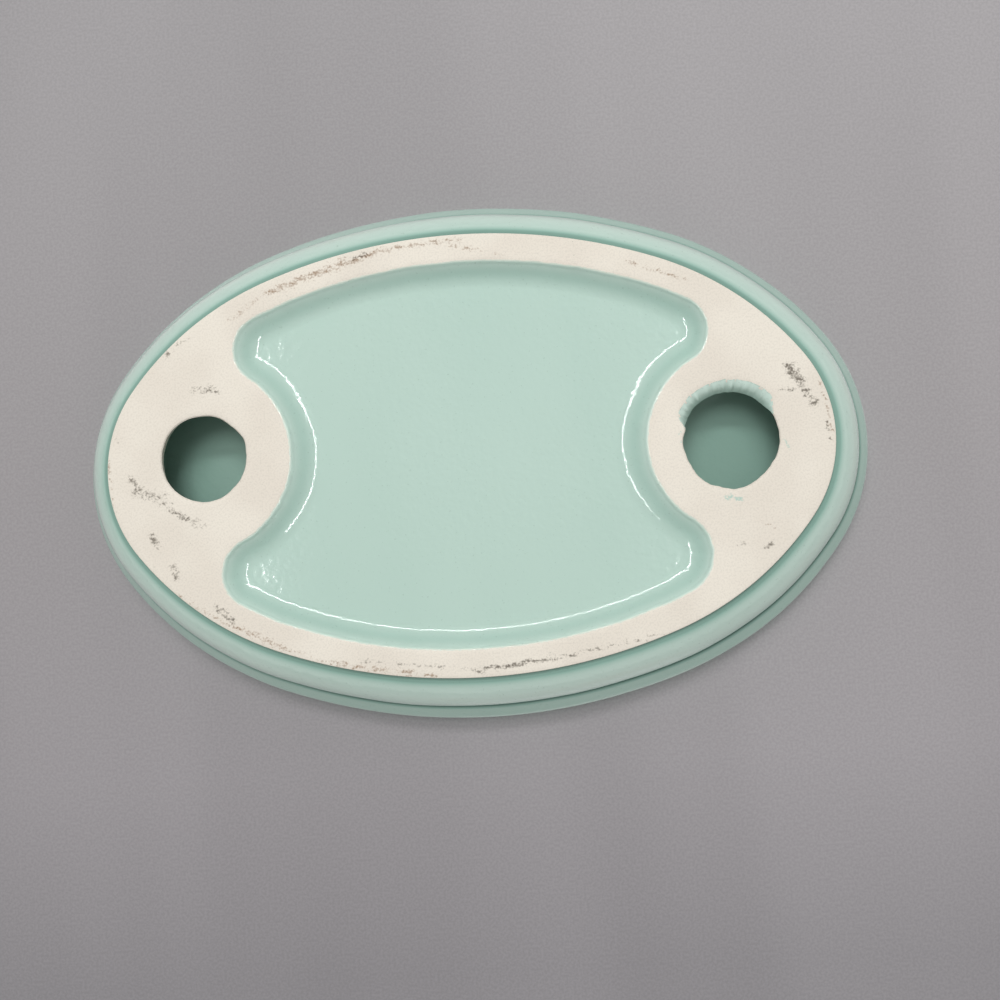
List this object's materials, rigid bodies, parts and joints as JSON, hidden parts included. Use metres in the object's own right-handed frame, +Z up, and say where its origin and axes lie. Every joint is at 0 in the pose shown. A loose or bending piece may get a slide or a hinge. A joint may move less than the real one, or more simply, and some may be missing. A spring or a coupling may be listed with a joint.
{
  "type": "soap dish",
  "caption": "Oval glazed earthenware soap dish with a low ribbed basin between raised hollow ends, on a flat unglazed foot.",
  "frame": {"origin": "middle of the foot face", "axes": "+X along the long axis, towards the end with the glazed drain hole; +Y across the dish; +Z up out of the basin"},
  "size_m": [0.1524, 0.1, 0.0174],
  "materials": {
    "bisque": "matt unglazed earthenware",
    "glaze": "glossy pale green glaze",
    "chamber_glaze": "thin darker green glaze"
  },
  "bodies": {
    "root": {"clay_body": "bisque", "outer_glaze": "glaze", "recess_glaze": "glaze", "left_chamber_glaze": "chamber_glaze", "right_chamber_glaze": "chamber_glaze", "drain_collar_glaze": "glaze"}
  },
  "joints": []
}
